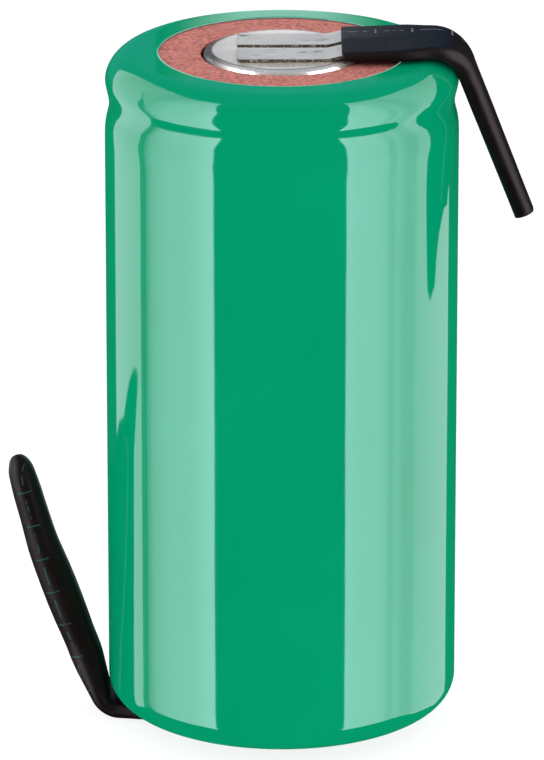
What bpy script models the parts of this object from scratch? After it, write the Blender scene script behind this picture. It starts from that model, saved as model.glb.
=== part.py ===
"""Sub-C rechargeable cell with insulated solder tags, modelled as the pieces it is built from.

Frame: +Z is the cell's axis, from the negative end to the positive end.
The origin is the centre of the negative tag's pad, on its flat underside.
The positive tag leaves the cell towards +X and the negative tag towards -X.
Sizes below are in millimetres. They are turned into metres when a mesh is made.
"""

import math

import bmesh
import bpy
from mathutils import Matrix, Vector

MM = 0.001

# ---------------------------------------------------------------- driving dimensions
CELL_RADIUS = 11.1        # over the shrink sleeve
CELL_HEIGHT = 43.1        # bottom to top of the shrink sleeve
FILM = 0.08               # shrink film thickness
FIT_GAP = 0.03            # clearance between pieces that rest on each other
SEGMENTS = 40             # facets round every turned piece

# Shrink sleeve
TOP_HOLE_RADIUS = 7.72
BOTTOM_HOLE_RADIUS = 7.5
RIM_FLAT_RADIUS = 9.15    # where the flat ends and the shoulder starts
SHOULDER_HEIGHT = 2.0
HEEL_HEIGHT = 1.8         # rounding at the bottom edge
BEAD_BELOW_TOP = 3.2      # bead groove centre, below the sleeve's top
BEAD_WIDTH = 0.9          # distance at which the groove has faded to 1/e
FILM_BEAD_DEPTH = 0.28    # the film bridges the deeper groove in the can

# Steel can
CAN_WALL = 0.3
CAN_BOTTOM = 0.22
CAN_RADIUS = CELL_RADIUS - FILM - FIT_GAP
CAN_BEAD_DEPTH = 0.75
CAN_LIP_RADIUS = 8.7
CRIMP_FLAT_RADIUS = 9.4
CRIMP_CENTRE = CELL_HEIGHT - SHOULDER_HEIGHT

# Wound plates
ROLL_CORE_RADIUS = 1.8
ROLL_TURNS = 5.4
ROLL_STEPS_PER_TURN = 16
NEGATIVE_PLATE = 0.36
POSITIVE_PLATE = 0.56
SEPARATOR = 0.12
LAYER_GAP = 0.05
ROLL_BOTTOM = 1.5
ROLL_TOP = 36.7
PLATE_STAGGER = 0.5       # a plate stands this far past the separators at its own collector

# Discs and lead that join the plates to the terminals
COLLECTOR_RADIUS = 9.2
COLLECTOR_HOLE_RADIUS = 1.5
COLLECTOR_THICKNESS = 0.2
COLLECTOR_SLOTS = 4
COLLECTOR_SLOT_START = 3.0    # distance from the axis
COLLECTOR_SLOT_WIDTH = 0.8
NEGATIVE_COLLECTOR_BOTTOM = 0.65
LEAD_WIDTH = 3.6
LEAD_THICKNESS = 0.2
LEAD_LOWER_END = -3.6         # along X
LEAD_UPPER_END = -2.6
LEAD_FOLD = 1.6               # where the lead turns back over itself
INSULATOR_RADIUS = 10.4
INSULATOR_HOLE_RADIUS = 5.2
INSULATOR_THICKNESS = 0.25

# Closure
LID_THICKNESS = 0.45
LID_RADIUS = 9.3
LID_RIM_TOP = 41.6
LID_DISH_TOP = 40.8
LID_DISH_RADIUS = 4.3
LID_SLOPE_RADIUS = 5.1        # where the slope out of the dish reaches the rim
VENT_HOLE_RADIUS = 0.9
CAP_TOP = 43.2
CAP_WALL = 0.28
CAP_FLAT_RADIUS = 4.45
CAP_RADIUS = 4.95
CAP_FLANGE_RADIUS = 7.1
CAP_FOOT_RADIUS = 5.15        # the inside flares out to this at the flange
CAP_FOOT_HEIGHT = 0.4
GAS_HOLES = 3
GAS_HOLE_RADIUS = 0.2
GASKET_RADIUS = 10.3
GASKET_TOP_RADIUS = 8.75      # inner edge of the part above the lid
GASKET_FOOT_RADIUS = 8.2      # inner edge of the part below the lid
GASKET_FOOT_THICKNESS = 0.55
GASKET_SHOULDER = 0.8         # height of the rounded upper edge
GASKET_HEEL = 0.3             # chamfer at the lower edge
WASHER_INNER_RADIUS = 5.08
WASHER_OUTER_RADIUS = 9.3
WASHER_THICKNESS = 0.36

# Vent: a rubber pad in a steel cup, held down by a small coil spring
SEAL_RADIUS = 2.0
SEAL_THICKNESS = 0.6
CUP_RADIUS = 2.4
CUP_THICKNESS = 0.25
CUP_SKIRT = 0.3           # how far the cup reaches down round the pad
CUP_CLEARANCE = 0.12
SPRING_RADIUS = 1.5
SPRING_WIRE = 0.24
SPRING_TURNS = 2.5
SPRING_STEPS_PER_TURN = 12

# Solder tags and their insulating tubes
TAG_WIDTH = 5.9
TAG_THICKNESS = 0.18
SLOT_WIDTH = 0.65
TUBE_WALL = 0.17
PAD_HALF_LENGTH = 2.8
PINCH_LENGTH = 1.6        # closed end of the negative tube
TIP_ROUNDING = 1.3
PATH_SPACING = 1.5        # longest straight step along a tag or tube
SLOT_OVERSHOOT = 1.0      # a cutter reaches this far past the metal it cuts

WASHER_TOP = CELL_HEIGHT - FILM - FIT_GAP
CAN_LIP_TOP = WASHER_TOP - WASHER_THICKNESS - FIT_GAP
ROLL_PITCH = NEGATIVE_PLATE + POSITIVE_PLATE + 2 * SEPARATOR + 4 * LAYER_GAP
BEAD_HEIGHT = CELL_HEIGHT - BEAD_BELOW_TOP
COLLECTOR_TOP = ROLL_TOP + PLATE_STAGGER + FIT_GAP + COLLECTOR_THICKNESS

for old in list(bpy.data.objects):
    bpy.data.objects.remove(old, do_unlink=True)

parts = bpy.data.collections.new("solder_tag_cell")
cutters = bpy.data.collections.new("cutters")
for group in (parts, cutters):
    bpy.context.scene.collection.children.link(group)


# ---------------------------------------------------------------- helpers
def make_material(name, colour, roughness, metallic=0.0):
    material = bpy.data.materials.new(name)
    material.use_nodes = True
    shader = material.node_tree.nodes["Principled BSDF"]
    shader.inputs["Base Color"].default_value = (*colour, 1.0)
    shader.inputs["Roughness"].default_value = roughness
    shader.inputs["Metallic"].default_value = metallic
    return material


def add_object(name, mesh, material, group=parts):
    piece = bpy.data.objects.new(name, mesh)
    group.objects.link(piece)
    if material:
        mesh.materials.append(material)
    return piece


def arc(centre, radii, start, end, count):
    """Points on an elliptical arc in the (radius, height) plane; angles in degrees."""
    points = []
    for i in range(count):
        angle = math.radians(start + (end - start) * i / (count - 1))
        points.append((centre[0] + radii[0] * math.cos(angle), centre[1] + radii[1] * math.sin(angle)))
    return points


def turned(name, profile, material, closed=True, origin=(0.0, 0.0, 0.0)):
    """A profile of (radius, height) points, down the outside first, turned about Z."""
    mesh = bpy.data.meshes.new(name)
    points = [((r - origin[0]) * MM, 0.0, (z - origin[2]) * MM) for r, z in profile]
    edges = [(i, i + 1) for i in range(len(points) - 1)]
    if closed:
        edges.append((len(points) - 1, 0))
    mesh.from_pydata(points, edges, [])
    piece = add_object(name, mesh, material)
    piece.location = Vector(origin) * MM
    screw = piece.modifiers.new("turn", "SCREW")
    screw.axis = "Z"
    screw.angle = 2 * math.pi
    screw.steps = SEGMENTS
    screw.render_steps = SEGMENTS
    screw.use_merge_vertices = True
    screw.merge_threshold = 0.000001
    screw.use_smooth_shade = True
    return piece


def box_cutter(name, low, high, turn=0.0):
    """A box between two corners, turned about Z by an angle in degrees."""
    mesh = bpy.data.meshes.new(name)
    shape = bmesh.new()
    bmesh.ops.create_cube(shape, size=1.0)
    size = Vector(high) - Vector(low)
    middle = (Vector(high) + Vector(low)) / 2
    bmesh.ops.scale(shape, vec=size * MM, verts=shape.verts)
    bmesh.ops.translate(shape, vec=middle * MM, verts=shape.verts)
    bmesh.ops.rotate(shape, cent=(0, 0, 0), matrix=Matrix.Rotation(math.radians(turn), 3, "Z"),
                     verts=shape.verts)
    shape.to_mesh(mesh)
    shape.free()
    return as_cutter(add_object(name, mesh, None, cutters))


def rod_cutter(name, radius, inner, outer, height, turn):
    """A short horizontal rod that lies along a radius of the cell."""
    mesh = bpy.data.meshes.new(name)
    shape = bmesh.new()
    bmesh.ops.create_cone(shape, cap_ends=True, segments=10, radius1=radius * MM, radius2=radius * MM,
                          depth=(outer - inner) * MM)
    place = (Matrix.Rotation(math.radians(turn), 4, "Z")
             @ Matrix.Translation(((inner + outer) / 2 * MM, 0, height * MM))
             @ Matrix.Rotation(math.radians(90), 4, "Y"))
    bmesh.ops.transform(shape, matrix=place, verts=shape.verts)
    shape.to_mesh(mesh)
    shape.free()
    return as_cutter(add_object(name, mesh, None, cutters))


def as_cutter(piece):
    piece.hide_render = True
    piece.display_type = "WIRE"
    return piece


def cut(piece, cutter):
    boolean = piece.modifiers.new(cutter.name, "BOOLEAN")
    boolean.operation = "DIFFERENCE"
    boolean.solver = "EXACT"
    boolean.object = cutter


def blend(start, end, amount):
    """A smooth step from start to end as amount goes from 0 to 1."""
    amount = min(max(amount, 0.0), 1.0)
    amount = amount * amount * (3 - 2 * amount)
    return start + (end - start) * amount


def lookup(table, place):
    """Smooth value at a distance along a path, from a list of (distance, value) pairs."""
    for (s0, v0), (s1, v1) in zip(table, table[1:]):
        if place <= s1:
            return blend(v0, v1, (place - s0) / (s1 - s0))
    return table[-1][1]


# ---------------------------------------------------------------- sleeve and can
def bead(z):
    """Depth of the bead groove at a height, as a fraction of its full depth."""
    return math.exp(-((z - BEAD_HEIGHT) / BEAD_WIDTH) ** 2)


def film_profile(inset):
    """The sleeve's surface from its top hole to its bottom hole, moved inwards by inset."""
    top = CELL_HEIGHT - inset
    shoulder = CELL_HEIGHT - SHOULDER_HEIGHT
    radius = CELL_RADIUS - inset
    points = [(TOP_HOLE_RADIUS, top)]
    points += arc((RIM_FLAT_RADIUS, shoulder), (radius - RIM_FLAT_RADIUS, SHOULDER_HEIGHT - inset), 90, 0, 6)
    for step in (0.9, 0.45, 0.0, -0.5, -1.0, -1.9):
        height = BEAD_HEIGHT + step
        points.append((radius - FILM_BEAD_DEPTH * bead(height), height))
    points += arc((RIM_FLAT_RADIUS, HEEL_HEIGHT), (radius - RIM_FLAT_RADIUS, HEEL_HEIGHT - inset), 0, -90, 5)
    points.append((BOTTOM_HOLE_RADIUS, inset))
    return points


def make_sleeve():
    green = make_material("green_shrink_film", (0.0, 0.31, 0.14), 0.12)
    turned("sleeve", film_profile(0.0) + film_profile(FILM)[::-1], green)


def can_profile(inset):
    """The can's side from the crimped lip to the floor, moved inwards by inset."""
    radius = CAN_RADIUS - inset
    crimp = (radius - CRIMP_FLAT_RADIUS, CAN_LIP_TOP - CRIMP_CENTRE - inset)
    points = [(CAN_LIP_RADIUS, CAN_LIP_TOP - inset)]
    points += arc((CRIMP_FLAT_RADIUS, CRIMP_CENTRE), crimp, 90, 0, 4)
    for step in (0.8, 0.0, -0.8, -2.0):
        height = BEAD_HEIGHT + step
        points.append((radius - CAN_BEAD_DEPTH * bead(height), height))
    heel = (radius - CRIMP_FLAT_RADIUS, HEEL_HEIGHT - CAN_BOTTOM - inset)
    points += arc((CRIMP_FLAT_RADIUS, HEEL_HEIGHT), heel, 0, -90, 4)
    points.append((0.0, CAN_BOTTOM + inset))
    return points


def make_can():
    steel = make_material("nickel_plated_steel", (0.56, 0.55, 0.53), 0.3, 1.0)
    turned("can", can_profile(CAN_WALL)[::-1] + can_profile(0.0), steel, closed=False)


# ---------------------------------------------------------------- wound plates and collectors
def wound_sheet(name, offset, thickness, low, high, material):
    """One layer of the roll: a strip wound in a spiral, starting offset outside the core."""
    shape = bmesh.new()
    rows = []
    steps = round(ROLL_TURNS * ROLL_STEPS_PER_TURN)
    for i in range(steps + 1):
        turn = i / ROLL_STEPS_PER_TURN
        angle = 2 * math.pi * turn
        inner = ROLL_CORE_RADIUS + offset + ROLL_PITCH * turn
        corners = ((inner, high), (inner + thickness, high), (inner + thickness, low), (inner, low))
        rows.append([shape.verts.new((r * math.cos(angle) * MM, r * math.sin(angle) * MM, z * MM))
                     for r, z in corners])
    loft(shape, rows)
    shape.faces.new(rows[0])
    shape.faces.new(rows[-1][::-1])
    finish_mesh(name, shape, material)


def loft(shape, rows):
    """Quads between rows of corners that run round the same way."""
    for near, far in zip(rows, rows[1:]):
        count = len(near)
        for k in range(count):
            shape.faces.new((near[k], far[k], far[(k + 1) % count], near[(k + 1) % count]))


def finish_mesh(name, shape, material):
    bmesh.ops.recalc_face_normals(shape, faces=shape.faces)
    mesh = bpy.data.meshes.new(name)
    shape.to_mesh(mesh)
    shape.free()
    mesh.shade_smooth()
    mesh.set_sharp_from_angle(angle=math.radians(35))
    return add_object(name, mesh, material)


def make_roll():
    metal_hydride = make_material("metal_hydride_plate", (0.12, 0.12, 0.13), 0.7)
    nickel_foam = make_material("nickel_hydroxide_plate", (0.06, 0.08, 0.06), 0.8)
    fleece = make_material("separator_fleece", (0.85, 0.85, 0.82), 0.9)
    place = 0.0
    wound_sheet("negative_plate", place, NEGATIVE_PLATE, ROLL_BOTTOM - PLATE_STAGGER,
                ROLL_TOP - 2 * PLATE_STAGGER, metal_hydride)
    place += NEGATIVE_PLATE + LAYER_GAP
    wound_sheet("separator_inner", place, SEPARATOR, ROLL_BOTTOM, ROLL_TOP, fleece)
    place += SEPARATOR + LAYER_GAP
    wound_sheet("positive_plate", place, POSITIVE_PLATE, ROLL_BOTTOM + 2 * PLATE_STAGGER,
                ROLL_TOP + PLATE_STAGGER, nickel_foam)
    place += POSITIVE_PLATE + LAYER_GAP
    wound_sheet("separator_outer", place, SEPARATOR, ROLL_BOTTOM, ROLL_TOP, fleece.copy())


def collector(name, low, material):
    """A nickel disc with a centre hole and four radial slots, welded to the plate edges."""
    high = low + COLLECTOR_THICKNESS
    disc = turned(name, [(COLLECTOR_RADIUS, high), (COLLECTOR_RADIUS, low),
                         (COLLECTOR_HOLE_RADIUS, low), (COLLECTOR_HOLE_RADIUS, high)], material)
    half = COLLECTOR_SLOT_WIDTH / 2
    for i in range(COLLECTOR_SLOTS):
        slot = box_cutter(f"{name}_slot_{i}", (COLLECTOR_SLOT_START, -half, low - SLOT_OVERSHOOT),
                          (COLLECTOR_RADIUS + SLOT_OVERSHOOT, half, high + SLOT_OVERSHOOT),
                          360 * (i + 0.5) / COLLECTOR_SLOTS)
        cut(disc, slot)


def make_collectors():
    nickel = make_material("nickel_sheet", (0.6, 0.58, 0.54), 0.35, 1.0)
    collector("negative_collector", NEGATIVE_COLLECTOR_BOTTOM, nickel)
    collector("positive_collector", COLLECTOR_TOP - COLLECTOR_THICKNESS, nickel.copy())
    lead_low = COLLECTOR_TOP + FIT_GAP + LEAD_THICKNESS / 2
    lead_high = LID_DISH_TOP - LID_THICKNESS - FIT_GAP - LEAD_THICKNESS / 2
    fold = (lead_high - lead_low) / 2
    path = [(LEAD_LOWER_END, lead_low), (LEAD_FOLD, lead_low)]
    path += arc((LEAD_FOLD, lead_low + fold), (fold, fold), -90, 90, 7)[1:-1]
    path += [(LEAD_FOLD, lead_high), (LEAD_UPPER_END, lead_high)]
    strip("collector_lead", path, LEAD_WIDTH, LEAD_THICKNESS,
          make_material("nickel_lead", (0.6, 0.58, 0.54), 0.3, 1.0))


def strip(name, path, width, thickness, material):
    """A flat strip that follows an (x, z) path."""
    shape = bmesh.new()
    rows = []
    for (x, z), (nx, nz) in zip(path, normals(path)):
        row = []
        for side, across in ((1, 1), (1, -1), (-1, -1), (-1, 1)):
            out = side * thickness / 2
            row.append(shape.verts.new(((x + nx * out) * MM, across * width / 2 * MM, (z + nz * out) * MM)))
        rows.append(row)
    loft(shape, rows)
    shape.faces.new(rows[0])
    shape.faces.new(rows[-1][::-1])
    return finish_mesh(name, shape, material)


def normals(path):
    """Unit normals of an (x, z) path, on the left of its direction."""
    result = []
    for i in range(len(path)):
        before = path[max(i - 1, 0)]
        after = path[min(i + 1, len(path) - 1)]
        dx, dz = after[0] - before[0], after[1] - before[1]
        length = math.hypot(dx, dz)
        result.append((-dz / length, dx / length))
    return result


def make_top_insulator():
    low = COLLECTOR_TOP + 2 * FIT_GAP
    high = low + INSULATOR_THICKNESS
    profile = [(INSULATOR_RADIUS, high), (INSULATOR_RADIUS, low),
               (INSULATOR_HOLE_RADIUS, low), (INSULATOR_HOLE_RADIUS, high)]
    turned("top_insulator", profile, make_material("insulator_board", (0.75, 0.72, 0.62), 0.7))


# ---------------------------------------------------------------- closure and vent
def make_gasket():
    """Nylon ring that wraps the lid's edge inside the crimp."""
    nylon = make_material("nylon", (0.82, 0.82, 0.78), 0.45)
    inner = LID_RADIUS + FIT_GAP
    top = CAN_LIP_TOP - CAN_WALL - 2 * FIT_GAP
    low = LID_RIM_TOP - LID_THICKNESS - GASKET_FOOT_THICKNESS
    under_top = LID_RIM_TOP - LID_THICKNESS - FIT_GAP
    over_low = LID_RIM_TOP + FIT_GAP
    profile = [(GASKET_TOP_RADIUS, top)]
    profile += arc((inner, top - GASKET_SHOULDER), (GASKET_RADIUS - inner, GASKET_SHOULDER), 90, 0, 3)
    profile += [(GASKET_RADIUS, low + GASKET_HEEL), (GASKET_RADIUS - GASKET_HEEL, low),
                (GASKET_FOOT_RADIUS, low), (GASKET_FOOT_RADIUS, under_top),
                (inner, under_top), (inner, over_low), (GASKET_TOP_RADIUS, over_low)]
    turned("gasket", profile, nylon)


def make_lid():
    """Pressed steel plate: flat rim, lower dish in the middle, vent hole at the centre."""
    steel = make_material("lid_steel", (0.56, 0.55, 0.53), 0.3, 1.0)
    lean = LID_THICKNESS / 2      # keeps the sloping part as thick as the flat parts
    profile = [(VENT_HOLE_RADIUS, LID_DISH_TOP), (LID_DISH_RADIUS, LID_DISH_TOP),
               (LID_SLOPE_RADIUS, LID_RIM_TOP), (LID_RADIUS, LID_RIM_TOP),
               (LID_RADIUS, LID_RIM_TOP - LID_THICKNESS), (LID_SLOPE_RADIUS + lean, LID_RIM_TOP - LID_THICKNESS),
               (LID_DISH_RADIUS + lean, LID_DISH_TOP - LID_THICKNESS),
               (VENT_HOLE_RADIUS, LID_DISH_TOP - LID_THICKNESS)]
    turned("lid", profile, steel)


def make_vent():
    seal_low = LID_DISH_TOP + FIT_GAP
    seal_high = seal_low + SEAL_THICKNESS
    cup_low = seal_high + FIT_GAP
    cup_high = cup_low + CUP_THICKNESS
    skirt_low = seal_high - CUP_SKIRT
    skirt_radius = SEAL_RADIUS + CUP_CLEARANCE
    rubber = make_material("vent_rubber", (0.03, 0.03, 0.03), 0.8)
    turned("vent_seal", [(0, seal_high), (SEAL_RADIUS, seal_high), (SEAL_RADIUS, seal_low), (0, seal_low)],
           rubber, closed=False)
    cup = [(0, cup_high), (CUP_RADIUS, cup_high), (CUP_RADIUS, skirt_low), (skirt_radius, skirt_low),
           (skirt_radius, cup_low), (0, cup_low)]
    turned("vent_plate", cup, make_material("vent_plate_steel", (0.56, 0.55, 0.53), 0.35, 1.0), closed=False)

    low = cup_high + FIT_GAP + SPRING_WIRE / 2
    high = CAP_TOP - CAP_WALL - FIT_GAP - SPRING_WIRE / 2
    curve = bpy.data.curves.new("vent_spring", "CURVE")
    curve.dimensions = "3D"
    curve.bevel_depth = SPRING_WIRE / 2 * MM
    curve.bevel_resolution = 1
    curve.use_fill_caps = True
    wire = curve.splines.new("POLY")
    steps = round(SPRING_TURNS * SPRING_STEPS_PER_TURN)
    wire.points.add(steps)
    for i in range(steps + 1):
        angle = 2 * math.pi * i / SPRING_STEPS_PER_TURN
        height = low + (high - low) * i / steps
        wire.points[i].co = (SPRING_RADIUS * math.cos(angle) * MM, SPRING_RADIUS * math.sin(angle) * MM,
                             height * MM, 1.0)
    curve.materials.append(make_material("spring_steel", (0.5, 0.5, 0.5), 0.3, 1.0))
    parts.objects.link(bpy.data.objects.new("vent_spring", curve))


def make_cap():
    """Positive terminal: a flat-topped hat with three gas holes low in its side."""
    steel = make_material("cap_nickel", (0.66, 0.65, 0.62), 0.25, 1.0)
    edge = CAP_RADIUS - CAP_FLAT_RADIUS
    flange_low = LID_RIM_TOP + FIT_GAP
    flange_high = flange_low + CAP_WALL
    outside = [(0, CAP_TOP)] + arc((CAP_FLAT_RADIUS, CAP_TOP - edge), (edge, edge), 90, 0, 4)
    outside += [(CAP_RADIUS, flange_high), (CAP_FLANGE_RADIUS, flange_high), (CAP_FLANGE_RADIUS, flange_low)]
    inside = [(CAP_FOOT_RADIUS, flange_low), (CAP_RADIUS - CAP_WALL, flange_low + CAP_FOOT_HEIGHT)]
    inside += arc((CAP_FLAT_RADIUS, CAP_TOP - edge), (edge - CAP_WALL, edge - CAP_WALL), 0, 90, 3)
    inside += [(0, CAP_TOP - CAP_WALL)]
    cap = turned("positive_cap", outside + inside, steel, closed=False)
    height = (flange_high + WASHER_TOP - WASHER_THICKNESS) / 2
    for i in range(GAS_HOLES):
        turn = 360 * i / GAS_HOLES + 30
        cut(cap, rod_cutter(f"gas_hole_{i}", GAS_HOLE_RADIUS, CAP_RADIUS - 3 * CAP_WALL,
                            CAP_RADIUS + 2 * CAP_WALL, height, turn))


def make_washer():
    low = WASHER_TOP - WASHER_THICKNESS
    profile = [(WASHER_INNER_RADIUS, WASHER_TOP), (WASHER_OUTER_RADIUS, WASHER_TOP),
               (WASHER_OUTER_RADIUS, low), (WASHER_INNER_RADIUS, low)]
    turned("fibre_washer", profile, make_material("red_fibre", (0.5, 0.17, 0.13), 0.85))


# ---------------------------------------------------------------- solder tags and tubes
def smooth_path(corners, bend_step=12):
    """An (x, z) path through corners given as (x, z, bend radius), with round bends."""
    points = [corners[0][:2]]
    for before, corner, after in zip(corners, corners[1:], corners[2:]):
        here = Vector(corner[:2])
        back = (Vector(before[:2]) - here).normalized()
        ahead = (Vector(after[:2]) - here).normalized()
        turn = math.pi - back.angle(ahead)
        reach = corner[2] * math.tan(turn / 2)
        start = here + back * reach
        centre = here + (back + ahead).normalized() * (corner[2] / math.cos(turn / 2))
        swing = math.atan2(back.x * ahead.y - back.y * ahead.x, back.dot(ahead))
        sign = -1 if swing > 0 else 1
        count = max(2, round(math.degrees(turn) / bend_step))
        spoke = start - centre
        for i in range(count + 1):
            angle = sign * turn * i / count
            turned_spoke = Vector((spoke.x * math.cos(angle) - spoke.y * math.sin(angle),
                                   spoke.x * math.sin(angle) + spoke.y * math.cos(angle)))
            points.append(tuple(centre + turned_spoke))
    points.append(corners[-1][:2])
    return points


def distances(path):
    """Distance along a path at each of its points."""
    result = [0.0]
    for a, b in zip(path, path[1:]):
        result.append(result[-1] + math.hypot(b[0] - a[0], b[1] - a[1]))
    return result


def resampled(path, start, end, spacing):
    """Points of a path between two distances, with long straights divided."""
    marks = distances(path)
    wanted = [start]
    for a, b in zip(marks, marks[1:]):
        pieces = max(1, math.ceil((b - a) / spacing))
        wanted += [a + (b - a) * i / pieces for i in range(pieces)]
    wanted = sorted(s for s in set(wanted) if start < s < end - 0.05) + [end]
    if wanted[0] != start:
        wanted.insert(0, start)
    points = []
    for s in wanted:
        i = max(k for k in range(len(marks)) if marks[k] <= s + 1e-9)
        i = min(i, len(path) - 2)
        amount = (s - marks[i]) / (marks[i + 1] - marks[i])
        points.append((path[i][0] + (path[i + 1][0] - path[i][0]) * amount,
                       path[i][1] + (path[i + 1][1] - path[i][1]) * amount))
    return wanted, points


def flat_ring(width, thickness, crease):
    """Outline of a flattened tube as (across, out) points, with a crease along its upper face."""
    radius = thickness / 2
    flat = max(width / 2 - radius, 0.0)
    right = [(flat + radius * math.cos(a), radius * math.sin(a))
             for a in (math.radians(d) for d in (-90, -45, 0, 45, 90))]
    left = [(-y, out) for y, out in right[::-1]]
    return right + [(0.0, radius + crease)] + left + [(0.0, -radius)]


def place_ring(shape, centre, normal, ring):
    """Puts an outline on the path: across is Y, out is along the path's normal."""
    row = []
    for across, out in ring:
        place = (centre[0] + normal[0] * out, across, centre[1] + normal[1] * out)
        row.append(shape.verts.new(Vector(place) * MM))
    return row


def heat_shrink(name, path, look, start, end, pinched, material):
    """A tube shrunk over a tag. look holds the tables of width, thickness and crease."""
    shape = bmesh.new()
    skins = []
    for inset in (0.0, TUBE_WALL):
        stop = end - PINCH_LENGTH if pinched and inset else end
        marks, points = resampled(path, start, stop, PATH_SPACING)
        rows = []
        for s, centre, normal in zip(marks, points, normals(points)):
            pinch = 1.0
            if pinched:
                past = max(0.0, 1 - (end - s) / TIP_ROUNDING)
                pinch = math.sqrt(max(1 - past ** 2, 0.05))
            width = lookup(look["width"], s) * pinch - 2 * inset
            thickness = lookup(look["thickness"], s) * pinch - 2 * inset
            ring = flat_ring(width, thickness, lookup(look["crease"], s))
            rows.append(place_ring(shape, centre, normal, ring))
        loft(shape, rows)
        skins.append(rows)
    outer, inner = skins
    ends = [(outer[0], inner[0])]
    if pinched:
        shape.faces.new(outer[-1])
        shape.faces.new(inner[-1])
    else:
        ends.append((outer[-1], inner[-1]))
    for big, small in ends:
        count = len(big)
        for k in range(count):
            shape.faces.new((big[k], big[(k + 1) % count], small[(k + 1) % count], small[k]))
    return finish_mesh(name, shape, material)


def solder_tag(name, path, look, end, slot_low, slot_high, material):
    """Nickel strip with a slotted weld pad, narrowing to a tail inside its tube."""
    shape = bmesh.new()
    marks, points = resampled(path, 0.0, end, PATH_SPACING)
    rows = []
    for s, centre, normal in zip(marks, points, normals(points)):
        half = lookup(look["tag_width"], s) / 2
        thick = TAG_THICKNESS / 2
        ring = [(half, thick), (-half, thick), (-half, -thick), (half, -thick)]
        rows.append(place_ring(shape, centre, normal, ring))
    loft(shape, rows)
    shape.faces.new(rows[0])
    shape.faces.new(rows[-1][::-1])
    tag = finish_mesh(name, shape, material)
    height = path[0][1]
    low = (slot_low, -SLOT_WIDTH / 2, height - SLOT_OVERSHOOT)
    high = (slot_high, SLOT_WIDTH / 2, height + SLOT_OVERSHOOT)
    cut(tag, box_cutter(f"{name}_slot", low, high))
    return tag


def make_positive_end():
    nickel = make_material("positive_tag_nickel", (0.62, 0.6, 0.57), 0.3, 1.0)
    black = make_material("black_shrink_tube", (0.02, 0.016, 0.018), 0.45)
    pad = CAP_TOP + FIT_GAP + TAG_THICKNESS / 2
    path = smooth_path([(-PAD_HALF_LENGTH, pad), (2.85, pad, 1.0), (3.75, pad + 0.22, 1.0),
                        (10.88, pad + 0.37, 2.3), (15.24, 32.57)])
    total = distances(path)[-1]
    look = {
        "width": [(0, 6.3), (8.0, 6.4), (10.0, 6.5), (12.6, 5.6), (16.0, 3.4), (total, 2.0)],
        "thickness": [(0, 0.58), (8.0, 0.62), (11.5, 0.8), (15.0, 1.22), (total, 1.26)],
        "crease": [(0, 0.12), (8.5, 0.1), (11.0, 0.0), (total, 0.0)],
        "tag_width": [(0, TAG_WIDTH), (9.0, 5.7), (12.6, 4.4), (16.0, 2.2), (total, 1.2)],
    }
    solder_tag("positive_tag", path, look, total - 1.2, -PAD_HALF_LENGTH - SLOT_OVERSHOOT, 4.4, nickel)
    heat_shrink("positive_tube", path, look, 6.6, total, False, black)


def make_negative_end():
    nickel = make_material("negative_tag_nickel", (0.62, 0.6, 0.57), 0.3, 1.0)
    black = make_material("black_shrink_tube_lower", (0.02, 0.016, 0.018), 0.45)
    pad = TAG_THICKNESS / 2
    path = smooth_path([(PAD_HALF_LENGTH, pad), (-3.1, pad, 1.0), (-6.6, -0.42, 3.0), (-11.35, -0.42, 1.3),
                        (-15.25, 10.3, 12.0), (-16.9, 16.35)])
    total = distances(path)[-1]
    look = {
        "width": [(0, 6.3), (10.0, 6.0), (14.5, 4.4), (19.0, 3.0), (total - 3, 2.4), (total, 2.0)],
        "thickness": [(0, 0.58), (10.0, 0.66), (14.0, 1.0), (18.0, 1.95), (22.0, 2.2), (total - 3, 1.8),
                      (total, 1.55)],
        "crease": [(0, 0.0), (total, 0.0)],
        "tag_width": [(0, TAG_WIDTH), (10.0, 5.3), (14.5, 3.4), (19.0, 2.1), (total, 1.2)],
    }
    solder_tag("negative_tag", path, look, total - 2.4, 0.9, PAD_HALF_LENGTH + SLOT_OVERSHOOT, nickel)
    heat_shrink("negative_tube", path, look, 7.4, total, True, black)


make_sleeve()
make_can()
make_roll()
make_collectors()
make_top_insulator()
make_gasket()
make_lid()
make_vent()
make_cap()
make_washer()
make_positive_end()
make_negative_end()
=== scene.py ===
"""Looks of the solder-tag cell: fine surfaces, materials, floor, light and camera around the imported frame."""

import math

import bpy
import numpy as np
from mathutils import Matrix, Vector


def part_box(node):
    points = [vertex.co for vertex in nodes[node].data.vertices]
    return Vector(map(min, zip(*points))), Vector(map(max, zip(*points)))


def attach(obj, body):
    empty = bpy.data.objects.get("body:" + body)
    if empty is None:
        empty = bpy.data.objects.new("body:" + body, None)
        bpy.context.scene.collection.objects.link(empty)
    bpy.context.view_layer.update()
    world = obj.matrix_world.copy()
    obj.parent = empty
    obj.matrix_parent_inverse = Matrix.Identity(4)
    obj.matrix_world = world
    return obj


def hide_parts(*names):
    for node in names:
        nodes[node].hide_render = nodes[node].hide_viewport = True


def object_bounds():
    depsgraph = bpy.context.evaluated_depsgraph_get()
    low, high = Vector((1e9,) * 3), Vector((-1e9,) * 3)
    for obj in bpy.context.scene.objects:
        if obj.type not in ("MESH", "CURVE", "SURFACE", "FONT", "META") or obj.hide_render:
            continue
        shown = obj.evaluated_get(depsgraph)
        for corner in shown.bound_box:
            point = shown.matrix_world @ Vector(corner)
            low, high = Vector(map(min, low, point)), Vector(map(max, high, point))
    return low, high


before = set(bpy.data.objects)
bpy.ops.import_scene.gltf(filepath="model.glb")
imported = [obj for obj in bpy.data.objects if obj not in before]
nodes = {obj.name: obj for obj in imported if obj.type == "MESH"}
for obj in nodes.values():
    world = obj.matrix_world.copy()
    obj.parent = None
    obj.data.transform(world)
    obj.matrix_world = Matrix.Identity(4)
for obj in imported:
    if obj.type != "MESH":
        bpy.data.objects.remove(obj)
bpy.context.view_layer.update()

MM = 0.001
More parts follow.
